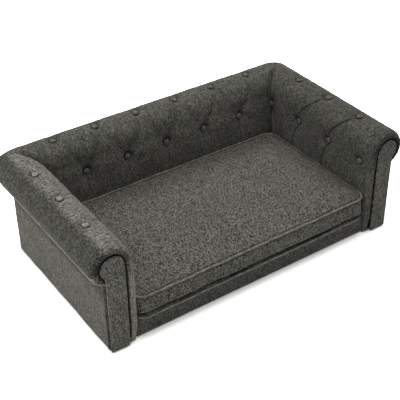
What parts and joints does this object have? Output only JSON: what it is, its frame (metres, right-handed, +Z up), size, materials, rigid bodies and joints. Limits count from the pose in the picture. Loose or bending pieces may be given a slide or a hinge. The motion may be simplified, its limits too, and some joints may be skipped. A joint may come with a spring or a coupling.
{
  "type": "dog sofa bed",
  "caption": "Low pet sofa with rolled, deep-buttoned arms and back, scroll front panels, and a loose boxed seat cushion with piping that lifts out.",
  "frame": {"origin": "on the floor under the middle of the whole sofa", "axes": "+X along the sofa's width to the sitter's right, +Y from the open front to the back, +Z up"},
  "size_m": [1, 0.571, 0.324],
  "materials": {
    "sofa_fabric": "heathered dark olive grey chenille weave, soft sheen",
    "cushion_fabric": "the same weave with its warp laid front to back, a shade lighter",
    "foam": "open-cell foam",
    "zip_tape": "woven tape and moulded coil",
    "metal": "zinc plated",
    "twine": "waxed linen twine",
    "glide_plastic": "smooth",
    "dust_cloth": "non-woven cloth",
    "plywood": "raw",
    "timber": "planed softwood"
  },
  "bodies": {
    "root": {"base_front_rail": "timber", "base_rear_rail": "timber", "left_base_rail": "timber", "right_base_rail": "timber", "corner_blocks": "timber", "slat_cleats": "timber", "deck_slats": "timber", "seat_deck": "plywood", "glides": "glide_plastic", "dust_cover": "dust_cloth", "left_arm_facing": "plywood", "left_arm_bottom_rail": "timber", "left_arm_stile": "timber", "left_arm_top_rail": "timber", "left_arm_board": "plywood", "right_arm_facing": "plywood", "right_arm_bottom_rail": "timber", "right_arm_stile": "timber", "right_arm_top_rail": "timber", "right_arm_board": "plywood", "left_corner_post": "timber", "right_corner_post": "timber", "back_bottom_rail": "timber", "back_frame_stiles": "timber", "back_top_rail": "timber", "back_board": "plywood", "left_arm_pad": "sofa_fabric", "right_arm_pad": "sofa_fabric", "back_pad": "sofa_fabric", "left_front_panel": "sofa_fabric", "right_front_panel": "sofa_fabric", "panel_studs": "timber", "left_outer_panel": "sofa_fabric", "right_outer_panel": "sofa_fabric", "rear_outer_panel": "sofa_fabric", "front_rail_cover": "sofa_fabric", "left_arm_buttons": "sofa_fabric", "right_arm_buttons": "sofa_fabric", "back_buttons": "sofa_fabric", "corner_buttons": "sofa_fabric", "button_ties": "twine", "tie_washers": "metal", "frame_bolts": "metal", "bolt_washers": "metal", "insert_nuts": "metal"},
    "cushion": {"cushion_cover": "cushion_fabric", "cushion_foam": "foam", "cushion_top_welt": "cushion_fabric", "cushion_bottom_welt": "cushion_fabric", "zip_tape": "zip_tape", "zip_teeth": "zip_tape"},
    "zip": {"zip_slider": "metal", "zip_pull": "metal"}
  },
  "joints": [
    {"name": "cushion_lift", "type": "slide", "parent": "root", "child": "cushion", "axis": [0, 0, 1], "range_m": [0, 0.28]},
    {"name": "zip_slide", "type": "slide", "parent": "cushion", "child": "zip", "axis": [1, 0, 0], "range_m": [-0.573, 0]}
  ]
}
